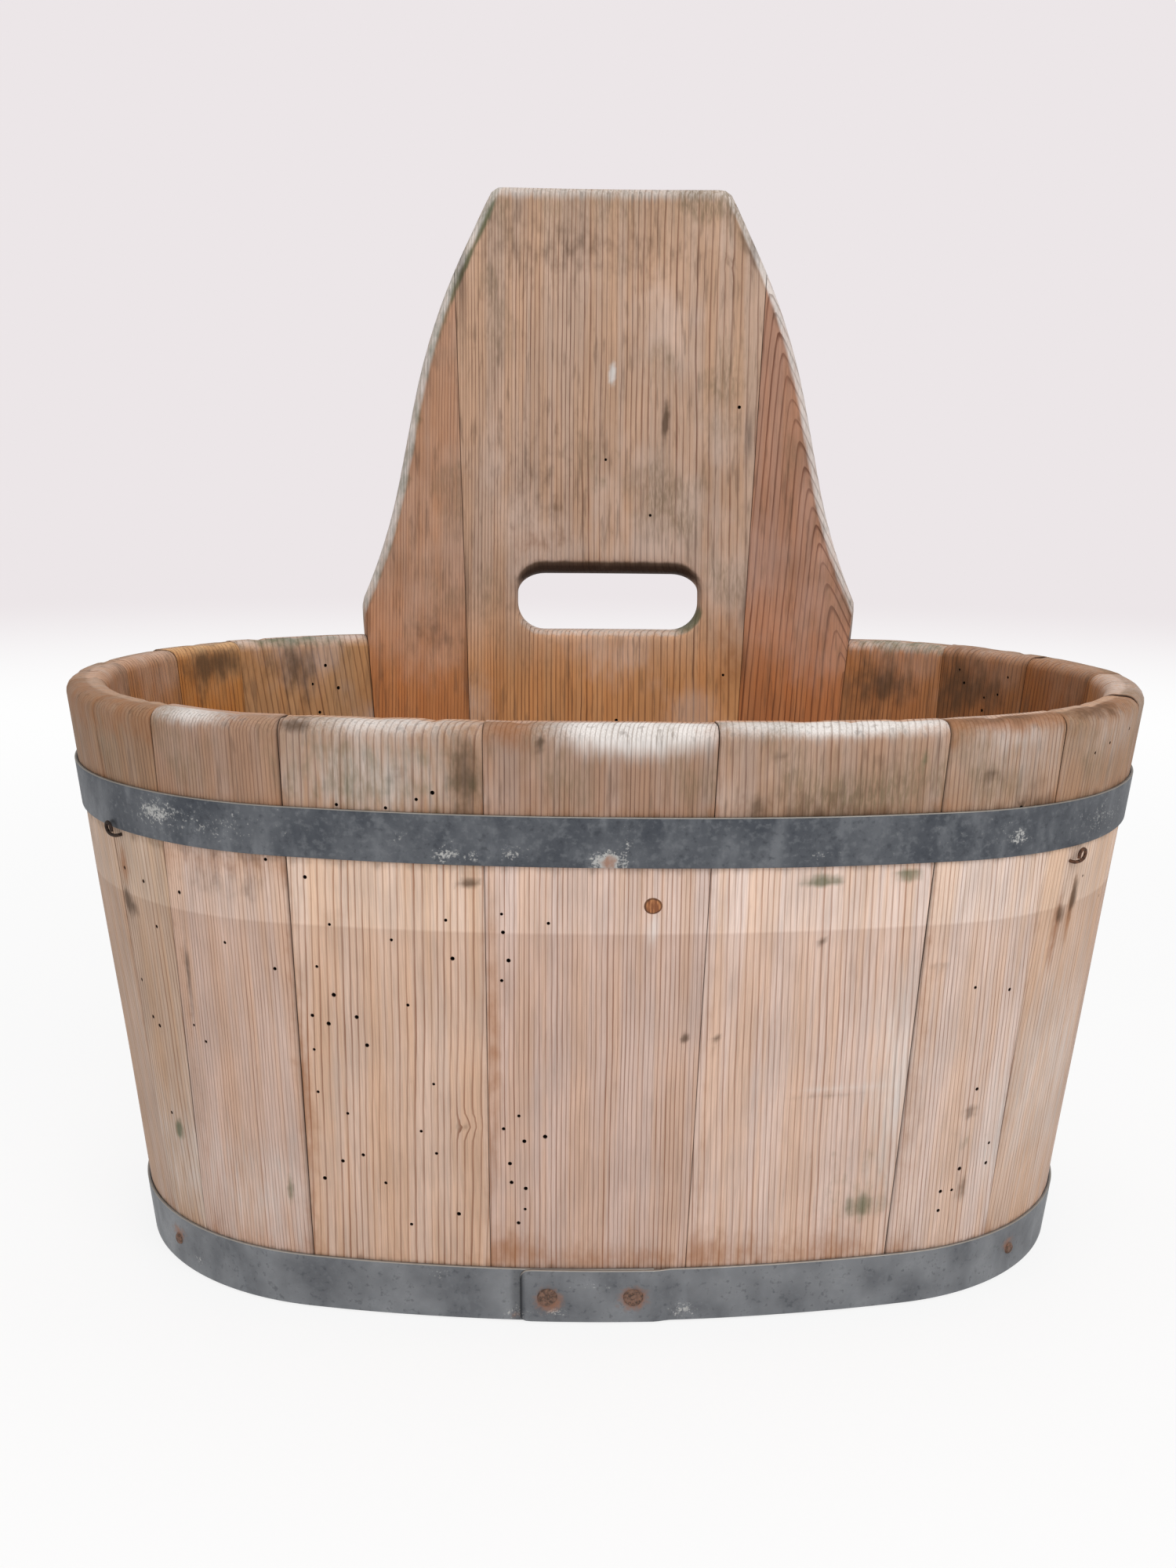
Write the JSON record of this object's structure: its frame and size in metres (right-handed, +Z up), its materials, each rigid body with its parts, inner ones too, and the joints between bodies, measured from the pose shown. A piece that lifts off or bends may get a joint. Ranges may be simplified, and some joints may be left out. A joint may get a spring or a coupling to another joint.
{
  "type": "oval wooden tub cachepot",
  "caption": "Oval coopered softwood tub used as a cachepot, with flared staves, galvanised hoops and a tall back board pierced by a hand slot.",
  "frame": {"origin": "middle of the tub's foot, on the floor", "axes": "+Z up, +X along the oval's long side, the front faces -Y and the back board stands at +Y"},
  "size_m": [0.4985, 0.3372, 0.507],
  "materials": {
    "stave_wood": "bare weathered softwood, rubbed smooth",
    "bottom_wood": "bare stained softwood",
    "dowel_wood": "bare wood",
    "galvanised_iron": "dull weathered galvanising",
    "rusted_iron": "rusted"
  },
  "bodies": {
    "root": {"stave_right_end_back": "stave_wood", "stave_back_right_outer": "stave_wood", "stave_back_right_inner": "stave_wood", "tall_stave_right": "stave_wood", "tall_stave_middle": "stave_wood", "tall_stave_left": "stave_wood", "stave_back_left_inner": "stave_wood", "stave_back_left_outer": "stave_wood", "stave_left_end_back": "stave_wood", "stave_left_end_middle": "stave_wood", "stave_left_end_front": "stave_wood", "stave_front_left_corner": "stave_wood", "stave_front_left_outer": "stave_wood", "stave_front_left_inner": "stave_wood", "stave_front_middle": "stave_wood", "stave_front_right_inner": "stave_wood", "stave_front_right_outer": "stave_wood", "stave_front_right_corner": "stave_wood", "stave_right_end_front": "stave_wood", "bottom_board_front": "bottom_wood", "bottom_board_middle": "bottom_wood", "bottom_board_back": "bottom_wood", "bottom_dowels": "dowel_wood", "board_dowels": "dowel_wood", "lower_hoop": "galvanised_iron", "upper_hoop": "galvanised_iron", "lower_hoop_rivets": "rusted_iron", "upper_hoop_rivets": "rusted_iron", "lower_hoop_nails": "rusted_iron", "stop_nail_left": "rusted_iron", "stop_nail_right": "rusted_iron", "front_plug": "dowel_wood"}
  },
  "joints": []
}
